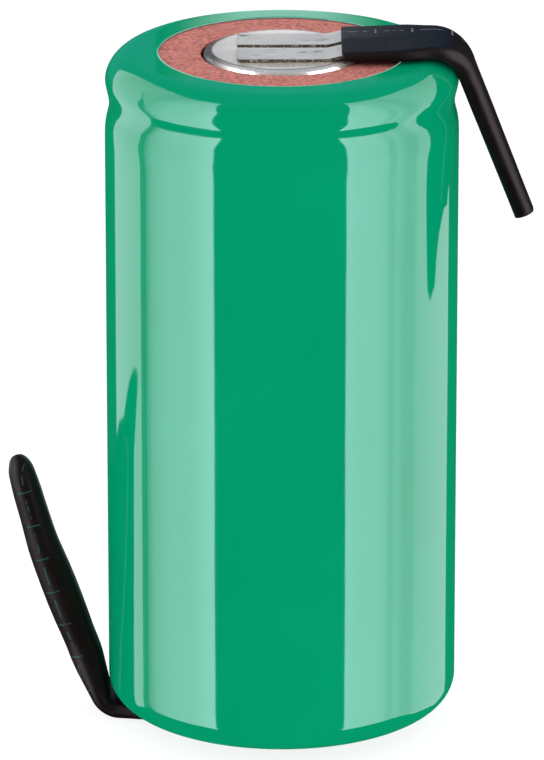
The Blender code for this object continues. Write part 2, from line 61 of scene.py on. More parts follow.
MICRON = 0.000001

# ---------------------------------------------------------------- sizes, in millimetres
sleeve_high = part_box("sleeve")[1] / MM
CELL_RADIUS = sleeve_high.x
CELL_HEIGHT = sleeve_high.z
FILM_THICKNESS = 0.08
TOP_HOLE_RADIUS = 7.72
BOTTOM_HOLE_RADIUS = 7.5
RIM_FLAT_RADIUS = 9.15
SHOULDER_HEIGHT = 2.0
HEEL_HEIGHT = 1.8
CUT_EDGE_HIGHLIGHT = 0.035          # width of the painted highlight at the film's cut edge

BEAD_BELOW_TOP = 3.2
BEAD_HEIGHT = CELL_HEIGHT - BEAD_BELOW_TOP
BEAD_ABOVE = 1.8          # the groove's upper flank reaches this far up, to the shoulder
BEAD_BELOW = 0.92         # its lower flank fades to 1/e over this height
BEAD_DEPTH = 0.278
BEAD_LEAN = 0.1           # the groove stands this much higher at +X than on the axis

cap_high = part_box("positive_cap")[1].z / MM
flange_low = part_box("positive_cap")[0].z / MM
FLANGE_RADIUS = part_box("positive_cap")[1].x / MM
CAP_WALL = 0.28
CAP_FLAT_RADIUS = 4.45
CAP_RADIUS = 4.95
CAP_FOOT = 0.1            # small chamfer between the cap's wall and its flange

washer_low, washer_high = (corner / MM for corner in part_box("fibre_washer"))
WASHER_HOLE_RADIUS = 5.08
WASHER_CORNER = 0.05
WASHER_RAGGED = 0.006     # unevenness of its cut edges

TAG_WIDTH = 5.9
TAG_THICKNESS = 0.18
TAG_CORNER = 0.25
TAG_EDGE = 0.02           # rounding of its cut edges
SLOT_WIDTH = 0.65
PAD_HALF_LENGTH = 2.8
WELD_GAP = 0.03           # between the cap and the tag on it
TUBE_WALL = 0.17
TUBE_LIP = 0.03           # the rounded mouth reaches this far past the tube's start
PINCH_LENGTH = 1.6
TIP_ROUNDING = 1.3

FILM_COLUMNS = 480
CAP_COLUMNS = 160
WASHER_COLUMNS = 240
TUBE_COLUMNS = 72
TAG_LEG_COLUMNS = 14      # on each side of the slot
TAG_ROW_SPACING = 0.12
TUBE_ROW_SPACING = 0.15
TUBE_INSIDE_SPACING = 0.4
AXIS_HOLE = 0.01          # a turned surface stops this far from the axis


# ---------------------------------------------------------------- mesh helpers
def mesh_from_grid(name, grid, wrap_rows, wrap_columns, uv=None):
    """A quad mesh from a grid of points in millimetres. uv holds (u, v) for each point."""
    rows, columns = grid.shape[:2]
    index = np.arange(rows * columns).reshape(rows, columns)
    r = np.arange(rows if wrap_rows else rows - 1)
    c = np.arange(columns if wrap_columns else columns - 1)
    r_next = (r + 1) % rows
    c_next = (c + 1) % columns
    faces = np.stack([index[np.ix_(r, c)], index[np.ix_(r, c_next)],
                      index[np.ix_(r_next, c_next)], index[np.ix_(r_next, c)]], -1).reshape(-1, 4)
    mesh = bpy.data.meshes.new(name)
    mesh.from_pydata((grid.reshape(-1, 3) * MM).tolist(), [], faces.tolist())
    if uv is not None:
        layer = mesh.uv_layers.new(name="length_and_round")
        corners = np.zeros(len(mesh.loops), np.int32)
        mesh.loops.foreach_get("vertex_index", corners)
        layer.data.foreach_set("uv", uv.reshape(-1, 2)[corners].astype(np.float32).ravel())
    mesh.shade_smooth()
    return mesh


def add_object(name, mesh, material):
    """A new object in the scene with one material."""
    thing = bpy.data.objects.new(name, mesh)
    bpy.context.scene.collection.objects.link(thing)
    mesh.materials.append(material)
    return thing


def add_piece(name, mesh, material, replaced):
    """A piece of the still body that stands for a CAD node."""
    piece = add_object(name, mesh, material)
    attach(piece, "cell")
    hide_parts(replaced)
    return piece


def arc(centre, radii, start, end, count):
    """Points on an elliptical arc in the (radius, height) plane; angles in degrees."""
    angles = np.radians(np.linspace(start, end, count))
    return np.stack([centre[0] + radii[0] * np.cos(angles), centre[1] + radii[1] * np.sin(angles)], -1)


def straight(start, end, count):
    """Evenly spaced points from start to end, without the end itself."""
    return np.linspace(start, end, count, endpoint=False)


def turned_grid(profile, columns):
    """A grid of points from a (radius, height) profile: rows along the profile, columns round the axis."""
    angles = np.linspace(0, 2 * math.pi, columns, endpoint=False)
    radius, height = profile[:, :1], profile[:, 1:]
    return np.stack([radius * np.cos(angles), radius * np.sin(angles), height + 0 * angles], -1)


def smooth_noise(x, y, seed, octaves=3):
    """Soft repeatable noise from sums of waves, about -1 to 1."""
    rng = np.random.default_rng(seed)
    total = 0
    for octave in range(octaves):
        for _ in range(3):
            kx, ky = rng.normal(size=2) * 2 ** octave
            total = total + np.sin(kx * x + ky * y + rng.uniform(0, 6.28)) / 2 ** octave
    return total / 3.5


# ---------------------------------------------------------------- material helpers
class Nodes:
    """Adds nodes to a node tree, one line at a time."""

    def __init__(self, tree):
        self.tree = tree

    def put(self, kind, settings=None, **inputs):
        """A node with its settings and its inputs, each named with _ for a space."""
        node = self.tree.nodes.new(kind)
        for key, value in (settings or {}).items():
            setattr(node, key, value)
        for key, value in inputs.items():
            self.give(node.inputs[key.replace("_", " ")], value)
        return node

    def give(self, socket, value):
        """Links a socket, or sets a plain value, on an input."""
        if isinstance(value, bpy.types.NodeSocket):
            self.tree.links.new(value, socket)
        else:
            socket.default_value = value

    def math(self, operation, a, b=0.0):
        node = self.put("ShaderNodeMath", {"operation": operation})
        for socket, value in zip(node.inputs, (a, b)):
            self.give(socket, value)
        return node.outputs[0]

    def axis(self, vector, letter):
        return self.put("ShaderNodeSeparateXYZ", Vector=vector).outputs[letter]

    def span(self, value, low, high, from_low=0.0, from_high=1.0, curve="LINEAR"):
        """value moved from one range to another."""
        node = self.put("ShaderNodeMapRange", {"interpolation_type": curve}, Value=value,
                        From_Min=from_low, From_Max=from_high, To_Min=low, To_Max=high)
        return node.outputs["Result"]

    def mix(self, amount, first, second):
        """A colour between two others, each a colour or a socket."""
        node = self.put("ShaderNodeMix", {"data_type": "RGBA"}, Factor=amount)
        for name, value in (("A", first), ("B", second)):
            socket = next(s for s in node.inputs if s.name == name and s.type == "RGBA")
            self.give(socket, value if isinstance(value, bpy.types.NodeSocket) else (*value, 1.0))
        return next(s for s in node.outputs if s.type == "RGBA")


class Look(Nodes):
    """A new material with a Principled BSDF."""

    def __init__(self, name, roughness, metallic=0.0, ior=1.5):
        self.material = bpy.data.materials.new(name)
        self.material.use_nodes = True
        super().__init__(self.material.node_tree)
        self.shader = self.tree.nodes["Principled BSDF"]
        self.set(Roughness=roughness, Metallic=metallic, IOR=ior)
        self.coords = self.put("ShaderNodeTexCoord").outputs["Object"]

    def set(self, **inputs):
        for key, value in inputs.items():
            self.give(self.shader.inputs[key.replace("_", " ")], value)

    def base_colour(self):
        """The socket that colours the surface so far."""
        return self.shader.inputs["Base Color"].links[0].from_socket

    def stretched(self, scale):
        """The object's coordinates stretched by a factor on each axis."""
        return self.put("ShaderNodeMapping", Vector=self.coords, Scale=scale).outputs["Vector"]

    def noise(self, scale, detail=3.0, source=None, roughness=0.5):
        node = self.put("ShaderNodeTexNoise", Vector=source or self.coords, Scale=scale, Detail=detail,
                        Roughness=roughness)
        return node.outputs["Fac"]

    def bump(self, height, distance, strength=1.0, below=None):
        """A normal for a height in parts of distance, on top of the normal below it."""
        node = self.put("ShaderNodeBump", Height=height, Strength=strength, Distance=distance)
        if below is not None:
            self.give(node.inputs["Normal"], below)
        return node.outputs["Normal"]

    def radius(self):
        """Distance from the cell's axis, in metres."""
        flat = self.put("ShaderNodeCombineXYZ", X=self.axis(self.coords, "X"), Y=self.axis(self.coords, "Y"))
        length = self.put("ShaderNodeVectorMath", {"operation": "LENGTH"}, Vector=flat.outputs[0])
        return length.outputs["Value"]


# ---------------------------------------------------------------- materials
def green_film():
    """Glossy shrink film: slightly clouded, streaked along the cell, with a painted highlight at its cut edge.
    """
    look = Look("green_film", 0.05)
    tone = look.span(look.noise(90.0), 0.0, 1.0, 0.35, 0.65)
    green = look.mix(tone, (0.0, 0.303, 0.138), (0.0, 0.322, 0.150))
    # painted highlight: a pale mint ring along the film's cut edge
    edge = look.math("LESS_THAN", look.radius(), (TOP_HOLE_RADIUS + CUT_EDGE_HIGHLIGHT) * MM)
    look.set(Base_Color=look.mix(edge, green, (0.22, 0.55, 0.45)))
    look.set(Roughness=look.span(look.noise(700.0), 0.035, 0.075), Specular_Tint=(0.78, 1.0, 0.98, 1.0))
    look.set(Sheen_Weight=0.35, Sheen_Roughness=0.35, Sheen_Tint=(0.0, 0.9, 0.42, 1.0))
    streaks = look.noise(900.0, 2.0, look.stretched((1.0, 1.0, 0.012)))
    peel = look.noise(260.0, 1.0)
    look.set(Normal=look.bump(peel, 10 * MICRON, 0.5, look.bump(streaks, 4 * MICRON, 0.35)))
    return look.material


def red_fibre():
    """Vulcanised fibre: coarse red grain with blotches."""
    look = Look("red_fibre", 0.85)
    grain = look.noise(3400.0, 5.0, roughness=0.7)
    blotch = look.span(look.noise(900.0, 2.0), 0.0, 0.35, 0.35, 0.7)
    base = look.mix(look.span(grain, 0.0, 1.0, 0.36, 0.64), (0.22, 0.035, 0.022), (0.66, 0.18, 0.135))
    look.set(Base_Color=look.mix(blotch, base, (0.64, 0.21, 0.16)), Normal=look.bump(grain, 60 * MICRON, 0.8))
    return look.material


def nickel(name, colour, roughness, grain_axis=None, scratch=0.5, metallic=1.0):
    """Rolled or drawn nickel: fine lines along one axis, and faint clouding."""
    look = Look(name, roughness, metallic)
    squeeze = [1.0, 1.0, 1.0]
    if grain_axis is not None:
        squeeze[grain_axis] = 0.04
    lines = look.noise(5000.0, 3.0, look.stretched(squeeze))
    dull = tuple(c * 0.86 for c in colour)
    look.set(Base_Color=look.mix(look.span(look.noise(450.0), 0.0, 1.0, 0.35, 0.7), colour, dull))
    look.set(Roughness=look.span(lines, roughness - 0.06, roughness + 0.08, 0.3, 0.7))
    look.set(Normal=look.bump(lines, 4 * MICRON, scratch))
    return look


def cap_nickel():
    """The cap: bright, with a painted dark reflection line inside its rolled edge and a painted shaded side at
    -X.
    """
    metallic, painted_shade_amount, painted_shade_metallic = 0.55, 0.92, 0.1
    look = nickel("cap_metal", (0.95, 0.86, 0.78), 0.22, scratch=0.15, metallic=metallic)
    # painted shade: a ragged dark ring just inside the rolled edge stands in for a dark reflection, and the -X
    # side is darkened
    shade_line_start = (4.38 * MM, 4.46 * MM)
    shade_line_end = (4.5 * MM, 4.6 * MM)
    shaded_side_fade = (-4.2 * MM, -2.8 * MM)
    bright = look.base_colour()
    ragged = look.math("MULTIPLY", look.noise(900.0), 0.12 * MM)
    place = look.math("ADD", look.radius(), ragged)
    outside = look.span(place, 0.0, 1.0, *shade_line_start)
    line = look.math("MULTIPLY", outside, look.span(place, 1.0, 0.0, *shade_line_end))
    side = look.math("MULTIPLY", look.span(look.axis(look.coords, "X"), 1.0, 0.0, *shaded_side_fade), outside)
    # painted shade: the colour goes dark and less metallic in the ring and on the -X side
    dark = look.math("MULTIPLY", look.math("MAXIMUM", line, side), painted_shade_amount)
    look.set(Base_Color=look.mix(dark, bright, (0.05, 0.045, 0.04)))
    look.set(Metallic=look.span(dark, metallic, painted_shade_metallic))
    return look.material


def tag_nickel():
    """The solder tags: dull rolled nickel with a few dark weld marks."""
    look = nickel("tag_metal", (0.8, 0.735, 0.67), 0.38, grain_axis=0, metallic=0.6)
    bright = look.base_colour()
    spots = look.noise(1150.0, 4.0, look.stretched((0.55, 1.0, 1.0)))
    look.set(Base_Color=look.mix(look.span(spots, 0.0, 0.85, 0.63, 0.69), bright, (0.16, 0.15, 0.14)))
    return look.material


def sheared_edge_painted_shade():
    """The cut edges of a solder tag: dull and darkened with painted shade, with bright specks."""
    look = Look("sheared_metal_painted_shade", 0.6, 0.7)
    specks = look.noise(5500.0, 4.0)
    bright = look.span(specks, 0.0, 1.0, 0.5, 0.7)
    # painted shade: the dark brown base stands in for the shadow on the tag's edges
    look.set(Base_Color=look.mix(bright, (0.07, 0.05, 0.03), (0.4, 0.37, 0.28)))
    look.set(Normal=look.bump(specks, 20 * MICRON))
    return look.material


MARK_SPACING = 2.3        # millimetres along a tube, from one dash to the next
DASH_SHARE = 0.55         # of the spacing
DASH_HALF_WIDTH = 0.045
TICK_PLACE = 0.78         # where in the spacing the tick stands
TICK_HALF_SHARE = 0.02
TICK_HALF_LENGTH = 0.5


def plain_marks(look, row):
    """1 on a row of plain dashes and ticks, at a distance round the tube from its outer middle."""
    place = look.put("ShaderNodeUVMap", {"uv_map": "length_and_round"}).outputs["UV"]
    step = look.math("FRACT", look.math("DIVIDE", look.axis(place, "X"), MARK_SPACING))
    offset = look.math("ABSOLUTE", look.math("SUBTRACT", look.axis(place, "Y"), row))
    on_dash = look.math("LESS_THAN", step, DASH_SHARE)
    dash = look.math("MULTIPLY", on_dash, look.math("LESS_THAN", offset, DASH_HALF_WIDTH))
    from_tick = look.math("ABSOLUTE", look.math("SUBTRACT", step, TICK_PLACE))
    on_tick = look.math("LESS_THAN", from_tick, TICK_HALF_SHARE)
    tick = look.math("MULTIPLY", on_tick, look.math("LESS_THAN", offset, TICK_HALF_LENGTH))
    return look.math("MAXIMUM", dash, tick)


def black_tube(name, row, ink_colour):
    """Satin shrink tube with worn plain marks."""
    look = Look(name, 0.42, ior=1.4)
    worn = look.math("GREATER_THAN", look.noise(2600.0, 2.0), 0.42)
    ink = look.math("MULTIPLY", plain_marks(look, row), worn)
    tone = look.mix(look.noise(500.0), (0.004, 0.002, 0.002), (0.011, 0.006, 0.006))
    look.set(Base_Color=look.mix(ink, tone, ink_colour))
    look.set(Specular_IOR_Level=0.22, Specular_Tint=(1.0, 0.84, 0.84, 1.0))
    look.set(Roughness=look.span(look.noise(1500.0), 0.34, 0.5))
    fine = look.bump(look.noise(6000.0, 2.0), 4 * MICRON, 0.5)
    look.set(Normal=look.bump(look.noise(800.0, 2.0), 20 * MICRON, 0.4, fine))
    return look.material


def powder(name, dark, light):
    """Pressed active powder on the hidden plates."""
    look = Look(name, 0.8)
    grain = look.noise(4000.0, 5.0)
    look.set(Base_Color=look.mix(grain, dark, light), Normal=look.bump(grain, 30 * MICRON))
    return look.material


def fleece():
    """White fibre fleece, its fibres drawn out along the cell."""
    look = Look("fleece", 0.95)
    fibres = look.noise(6000.0, 6.0, look.stretched((1.0, 1.0, 0.3)), 0.8)
    look.set(Base_Color=look.mix(fibres, (0.7, 0.7, 0.66), (0.9, 0.9, 0.87)))
    look.set(Normal=look.bump(fibres, 30 * MICRON))
    return look.material


def moulded(name, colour, roughness):
    """Plain moulded plastic, board or rubber with a slight unevenness."""
    look = Look(name, roughness)
    shade = tuple(c * 0.9 for c in colour)
    look.set(Base_Color=look.mix(look.noise(700.0, 4.0), shade, colour))
    look.set(Normal=look.bump(look.noise(3000.0), 10 * MICRON, 0.5))
    return look.material


def dress_hidden_pieces():
    """The CAD nodes that no finer piece stands for keep their shape and get their own surface."""
    can_metal = nickel("can_metal", (0.62, 0.61, 0.58), 0.3, grain_axis=2).material
    sheet_metal = nickel("sheet_metal", (0.66, 0.64, 0.6), 0.35, grain_axis=0).material
    looks = {
        "can": can_metal, "lid": can_metal, "vent_plate": can_metal, "vent_spring": can_metal,
        "negative_collector": sheet_metal, "positive_collector": sheet_metal, "collector_lead": sheet_metal,
        "negative_plate": powder("hydride_powder", (0.07, 0.07, 0.075), (0.16, 0.16, 0.17)),
        "positive_plate": powder("nickel_paste", (0.03, 0.045, 0.03), (0.09, 0.11, 0.09)),
        "separator_inner": fleece(), "separator_outer": fleece(),
        "gasket": moulded("nylon", (0.82, 0.82, 0.78), 0.45),
        "top_insulator": moulded("insulator_board", (0.75, 0.72, 0.62), 0.7),
        "vent_seal": moulded("vent_rubber", (0.03, 0.03, 0.03), 0.8),
    }
    for name, material in looks.items():
        nodes[name].data.materials.clear()
        nodes[name].data.materials.append(material)


# ---------------------------------------------------------------- shrink sleeve
def film_profile(inset, shoulder_points, side_points, heel_points):
    """The film's surface from the top hole to the bottom hole, moved inwards by inset."""
    radius = CELL_RADIUS - inset
    shoulder = CELL_HEIGHT - SHOULDER_HEIGHT
    reach = radius - RIM_FLAT_RADIUS
    flat = straight((TOP_HOLE_RADIUS, CELL_HEIGHT - inset), (RIM_FLAT_RADIUS, CELL_HEIGHT - inset),
                    max(2, shoulder_points // 2))
    top = arc((RIM_FLAT_RADIUS, shoulder), (reach, SHOULDER_HEIGHT - inset), 90, 0, shoulder_points)
    bead_low = BEAD_HEIGHT - 3 * BEAD_BELOW
    heights = np.concatenate([straight(shoulder, bead_low, side_points),
                              straight(bead_low, HEEL_HEIGHT, side_points)])[1:]
    side = np.stack([radius + 0 * heights, heights], -1)
    heel = arc((RIM_FLAT_RADIUS, HEEL_HEIGHT), (reach, HEEL_HEIGHT - inset), 0, -90, heel_points)
    bottom = np.linspace((RIM_FLAT_RADIUS, inset), (BOTTOM_HOLE_RADIUS, inset), max(2, heel_points // 2))[1:]
    return np.concatenate([flat, top, side, heel, bottom])


def press(grid, depth):
    """Moves a turned grid towards the axis by a depth for each point."""
    angle = np.arctan2(grid[..., 1], grid[..., 0])
    grid[..., 0] -= depth * np.cos(angle)
    grid[..., 1] -= depth * np.sin(angle)


def bead_depth(grid):
    """The rolled groove. It runs a little out of true, higher at +X."""
    lean = BEAD_LEAN * grid[..., 0] / CELL_RADIUS
    apart = grid[..., 2] - BEAD_HEIGHT - lean
    above = np.cos(np.clip(apart / (BEAD_ABOVE - lean), 0, 1) * math.pi / 2) ** 2
    below = np.exp(-(apart / BEAD_BELOW) ** 2)
    return BEAD_DEPTH * np.where(apart > 0, above, below)


# Folds seen from the front: azimuth and width in degrees, height above the bead, length, depth
FRONT_FOLDS = [(20.0, 1.6, 2.35, 0.2, 0.035), (23.0, 1.6, 2.5, 0.25, -0.02), (26.0, 1.3, 2.25, 0.22, 0.04),
               (38.4, 0.5, 0.0, 2.6, 0.006), (54.0, 0.7, 2.0, 0.4, 0.03)]
BACK_FOLDS = 12
BACK_AZIMUTHS = (85, 275)
FILM_WAVE = 0.006         # slow waviness all over
FOLD_FADE = 1.5           # folds and waves fade out this close to each end
HIGHEST_FOLD = 0.01


def fold_table():
    """Every fold as (azimuth, width, height, length, depth): the front's listed, the back's at random."""
    rng = np.random.default_rng(7)
    folds = [(azimuth, width, BEAD_HEIGHT + above, length, depth)
             for azimuth, width, above, length, depth in FRONT_FOLDS]
    for _ in range(BACK_FOLDS):
        folds.append((rng.uniform(*BACK_AZIMUTHS), rng.uniform(0.6, 1.3), BEAD_HEIGHT + rng.normal() * 0.5,
                      rng.uniform(0.3, 0.8), rng.uniform(-0.012, 0.03)))
    return folds


def shrink_wrinkles(grid):
    """Small folds where the film has shrunk into the bead and over the rim, and a slow waviness."""
    angle = np.arctan2(grid[..., 1], grid[..., 0])
    height = grid[..., 2]
    depth = np.zeros_like(height)
    for azimuth, width, level, length, fold in fold_table():
        apart = (np.degrees(angle) + 90 - azimuth + 180) % 360 - 180
        depth += fold * np.exp(-(apart / width) ** 2 - ((height - level) / length) ** 2)
    depth += FILM_WAVE * smooth_noise(angle * 2, height * 0.12, 3)
    faded = np.clip((CELL_HEIGHT - height) / FOLD_FADE, 0, 1) * np.clip(height / FOLD_FADE, 0, 1)
    return np.maximum(depth * faded, -HIGHEST_FOLD)


def make_film():
    skin = film_profile(0.0, shoulder_points=24, side_points=60, heel_points=16)
    outside = turned_grid(skin, FILM_COLUMNS)
    lining = film_profile(FILM_THICKNESS, shoulder_points=8, side_points=14, heel_points=6)
    inside = turned_grid(lining[::-1], FILM_COLUMNS)
    press(outside, bead_depth(outside) + shrink_wrinkles(outside))
    press(inside, bead_depth(inside))
    mesh = mesh_from_grid("sleeve_film", np.concatenate([outside, inside]), True, True)
    add_piece("sleeve_film", mesh, green_film(), "sleeve")


# ---------------------------------------------------------------- cap and washer
def make_cap():
    edge = CAP_RADIUS - CAP_FLAT_RADIUS
    bend_height = cap_high - edge
    flange_high = flange_low + CAP_WALL
    outside = [straight((AXIS_HOLE, cap_high), (CAP_FLAT_RADIUS, cap_high), 24),
               arc((CAP_FLAT_RADIUS, bend_height), (edge, edge), 90, 0, 12),
               np.array([(CAP_RADIUS, flange_high + CAP_FOOT), (CAP_RADIUS + CAP_FOOT, flange_high),
                         (FLANGE_RADIUS, flange_high), (FLANGE_RADIUS, flange_low)])]
    inside = [np.array([(CAP_RADIUS + 2 * CAP_FOOT, flange_low),
                        (CAP_RADIUS - CAP_WALL, flange_low + 4 * CAP_FOOT)]),
              arc((CAP_FLAT_RADIUS, bend_height), (edge - CAP_WALL, edge - CAP_WALL), 0, 90, 4),
              np.array([(AXIS_HOLE, cap_high - CAP_WALL)])]
    grid = turned_grid(np.concatenate(outside + inside), CAP_COLUMNS)
    mesh = mesh_from_grid("cap_shell", grid, True, True)
    add_piece("cap_shell", mesh, cap_nickel(), "positive_cap")


def make_washer():
    outer, hole, corner = washer_high.x, WASHER_HOLE_RADIUS, WASHER_CORNER
    profile = np.concatenate([
        straight((hole + corner, washer_high.z), (outer - corner, washer_high.z), 30),
        arc((outer - corner, washer_high.z - corner), (corner, corner), 90, 0, 4),
        np.array([(outer, washer_low.z), (hole, washer_low.z)]),
        arc((hole + corner, washer_high.z - corner), (corner, corner), 180, 90, 4)[:-1]])
    grid = turned_grid(profile, WASHER_COLUMNS)
    x, y = grid[..., 0], grid[..., 1]
    ragged = WASHER_RAGGED * smooth_noise(x * 9, y * 9, 11, 4)
    grid[..., :2] *= (1 + ragged / np.maximum(np.hypot(x, y), 1))[..., None]
    mesh = mesh_from_grid("washer_ring", grid, True, True)
    add_piece("washer_ring", mesh, red_fibre(), "fibre_washer")


# ---------------------------------------------------------------- the paths of the two leads
def round_path(corners, bend_step=4):
    """An (x, z) path through corners given as (x, z, bend radius), with round bends."""
    points = [np.array(corners[0][:2])]
    for before, corner, after in zip(corners, corners[1:], corners[2:]):
        here = np.array(corner[:2])
        back = np.array(before[:2]) - here
        ahead = np.array(after[:2]) - here
        back, ahead = back / np.linalg.norm(back), ahead / np.linalg.norm(ahead)
        turn = math.pi - math.acos(float(np.clip(back @ ahead, -1, 1)))
        start = here + back * corner[2] * math.tan(turn / 2)
        middle = (back + ahead) / np.linalg.norm(back + ahead)
        centre = here + middle * corner[2] / math.cos(turn / 2)
        sign = -1 if back[0] * ahead[1] - back[1] * ahead[0] > 0 else 1
        spoke = start - centre
        count = max(2, round(math.degrees(turn) / bend_step))
        for angle in sign * turn * np.linspace(0, 1, count + 1):
            cos, sin = math.cos(angle), math.sin(angle)
            turned = np.array([spoke[0] * cos - spoke[1] * sin, spoke[0] * sin + spoke[1] * cos])
            points.append(centre + turned)
    points.append(np.array(corners[-1][:2]))
    return np.array(points)


def distances(path):
    """Distance along a path at each of its points."""
    return np.concatenate([[0], np.cumsum(np.linalg.norm(np.diff(path, axis=0), axis=1))])


def along(path, places):
    """Points and left-hand unit normals of a path at given distances."""
    marks = distances(path)
    points = np.stack([np.interp(places, marks, path[:, k]) for k in (0, 1)], -1)
    direction = np.gradient(points, axis=0)
    direction /= np.linalg.norm(direction, axis=1)[:, None]
    return points, np.stack([-direction[:, 1], direction[:, 0]], -1)


def beside_path(path, places, across, out):
    """A grid of points beside a path: across is Y, and out is along the path's normal."""
    points, normals = along(path, places)
    return np.stack([points[:, :1] + normals[:, :1] * out, across, points[:, 1:] + normals[:, 1:] * out], -1)


def lookup(table, places):
    """Smooth values at distances along a path, from (distance, value) pairs."""
    marks, values = np.array(table).T
    k = np.clip(np.searchsorted(marks, places, side="right") - 1, 0, len(marks) - 2)
    amount = np.clip((places - marks[k]) / (marks[k + 1] - marks[k]), 0, 1)
    amount = amount * amount * (3 - 2 * amount)
    return values[k] + (values[k + 1] - values[k]) * amount


def upper_lead():
    """The positive tag and its tube. All but the path are distances along it, or sizes at them."""
    pad = cap_high + WELD_GAP + TAG_THICKNESS / 2
    path = round_path([(-PAD_HALF_LENGTH, pad), (2.85, pad, 1.0), (3.75, pad + 0.22, 1.0),
                       (10.88, pad + 0.37, 2.3), (15.24, 32.57)])
    end = distances(path)[-1]
    return {
        "path": path, "end": end, "tag_end": end - 1.2, "slot": (0.0, 7.2), "tube_start": 6.6,
        "pinched": False,
        "width": [(0, 6.3), (8.0, 6.4), (10.0, 6.5), (12.6, 5.6), (16.0, 3.4), (end, 2.0)],
        "thickness": [(0, 0.58), (8.0, 0.62), (11.5, 0.8), (15.0, 1.22), (end, 1.26)],
        "crease": [(0, 0.12), (8.5, 0.1), (11.0, 0.0), (end, 0.0)],
        "tag_width": [(0, TAG_WIDTH), (9.0, 5.7), (12.6, 4.4), (16.0, 2.2), (end, 1.2)],
    }


def lower_lead():
    """The negative tag and its tube, which is pinched shut."""
    pad = TAG_THICKNESS / 2
    below = -0.42
    path = round_path([(PAD_HALF_LENGTH, pad), (-3.1, pad, 1.0), (-6.6, below, 3.0), (-11.35, below, 1.3),
                       (-15.25, 10.3, 12.0), (-16.9, 16.35)])
    end = distances(path)[-1]
    return {
        "path": path, "end": end, "tag_end": end - 2.4, "slot": (0.0, 1.9), "tube_start": 7.4,
        "pinched": True,
        "width": [(0, 6.3), (10.0, 6.0), (14.5, 4.4), (19.0, 3.0), (end - 3, 2.4), (end, 2.0)],
        "thickness": [(0, 0.58), (10.0, 0.66), (14.0, 1.0), (18.0, 1.95), (22.0, 2.2), (end - 3, 1.8),
                      (end, 1.55)],
        "crease": [(0, 0.0), (end, 0.0)],
        "tag_width": [(0, TAG_WIDTH), (10.0, 5.3), (14.5, 3.4), (19.0, 2.1), (end, 1.2)],
    }


# ---------------------------------------------------------------- shrink tubes
CREASE_SHARE = 0.42       # the crease's ridge falls to nothing at this share of the width
TUBE_WAVE = 0.008
TIP_SHARE = 0.05          # of a pinched tube's section is left at its very tip


def flat_outline(width, thickness, crease):
    """Points round a flattened tube: (across, out, distance round), from the middle of its outer face."""
    radius = thickness / 2
    flat = max(width / 2 - radius, 0.0)
    half_round = math.pi * radius
    length = 4 * flat + 2 * half_round
    s = np.linspace(0, length, TUBE_COLUMNS, endpoint=False)
    across, out = np.zeros(TUBE_COLUMNS), np.zeros(TUBE_COLUMNS)
    for k, d in enumerate(s):
        if d < flat:
            across[k], out[k] = d, radius
        elif d < flat + half_round:
            a = (d - flat) / radius
            across[k], out[k] = flat + radius * math.sin(a), radius * math.cos(a)
        elif d < 3 * flat + half_round:
            across[k], out[k] = 2 * flat + half_round - d, -radius
        elif d < 3 * flat + 2 * half_round:
            a = (d - 3 * flat - half_round) / radius
            across[k], out[k] = -flat - radius * math.sin(a), -radius * math.cos(a)
        else:
            across[k], out[k] = d - length, radius
    ridge = crease * np.clip(1 - np.abs(across) / max(width * CREASE_SHARE, 0.01), 0, 1) * (out > 0)
    return across, out + ridge, s


def tube_skin(lead, start, end, inset, spacing, seed):
    """A grid round a tube at a depth below its outer surface, with its (length, round) places."""
    places = np.linspace(start, end, max(4, round((end - start) / spacing)))
    width, thickness, crease = (lookup(lead[key], places) for key in ("width", "thickness", "crease"))
    if lead["pinched"]:
        past = np.clip(1 - (lead["end"] - places) / TIP_ROUNDING, 0, 1)
        pinch = np.maximum(np.sqrt(1 - past ** 2), TIP_SHARE)
        width, thickness = width * pinch, thickness * pinch
    rows = [flat_outline(*sizes) for sizes in zip(width - 2 * inset, thickness - 2 * inset, crease)]
    across, out, s = np.array(rows).transpose(1, 0, 2)
    if not inset:
        out = out * (1 + TUBE_WAVE * smooth_noise(places[:, None] * 1.1, across * 1.4, seed))
    second_half = s > s[:, [TUBE_COLUMNS // 2]]
    round_tube = np.where(second_half, s - s[:, [-1]] - s[:, [1]], s)
    uv = np.stack([places[:, None] + 0 * s, round_tube], -1)
    return beside_path(lead["path"], places, across, out), uv


def make_tube(name, lead, seed, material, node):
    """A hollow tube. The open one has two mouths, and the pinched one is closed at its tip."""
    start, end, pinched = lead["tube_start"], lead["end"], lead["pinched"]
    inner_end = end - PINCH_LENGTH if pinched else end
    outer, outer_uv = tube_skin(lead, start, end, 0.0, TUBE_ROW_SPACING, seed)
    inner, inner_uv = tube_skin(lead, start, inner_end, TUBE_WALL, TUBE_INSIDE_SPACING, seed)
    lip, lip_uv = tube_skin(lead, start - TUBE_LIP, start, TUBE_WALL / 2, TUBE_LIP, seed)
    grid = np.concatenate([inner[::-1], lip[:1], outer])
    uv = np.concatenate([inner_uv[::-1], lip_uv[:1], outer_uv])
    if pinched:
        inner_tip, outer_tip = (ring.mean(0) + 0 * ring for ring in (inner[-1], outer[-1]))
        grid = np.concatenate([[inner_tip], grid, [outer_tip]])
        uv = np.concatenate([uv[:1], uv, uv[-1:]])
    add_piece(name, mesh_from_grid(name, grid, not pinched, True, uv), material, node)


# ---------------------------------------------------------------- solder tags
DIMPLES = 9
DIMPLE_DEPTH = 0.05
TAG_WAVE = 0.008


def tag_relief(places, y, seed):
    """Height of a tag's surface: weld dimples in its pad and a slight unevenness."""
    rng = np.random.default_rng(seed)
    relief = np.zeros(y.shape)
    for _ in range(DIMPLES):
        spot_place, spot_y = rng.uniform(0.9, 6.0), rng.choice([-1, 1]) * rng.uniform(1.0, 2.2)
        size = rng.uniform(0.1, 0.2)
        gap = ((places - spot_place) / (size * 1.8)) ** 2 + ((y - spot_y) / size) ** 2
        relief -= DIMPLE_DEPTH * np.exp(-gap)
    return relief + TAG_WAVE * smooth_noise(places * 2, y * 2, seed)


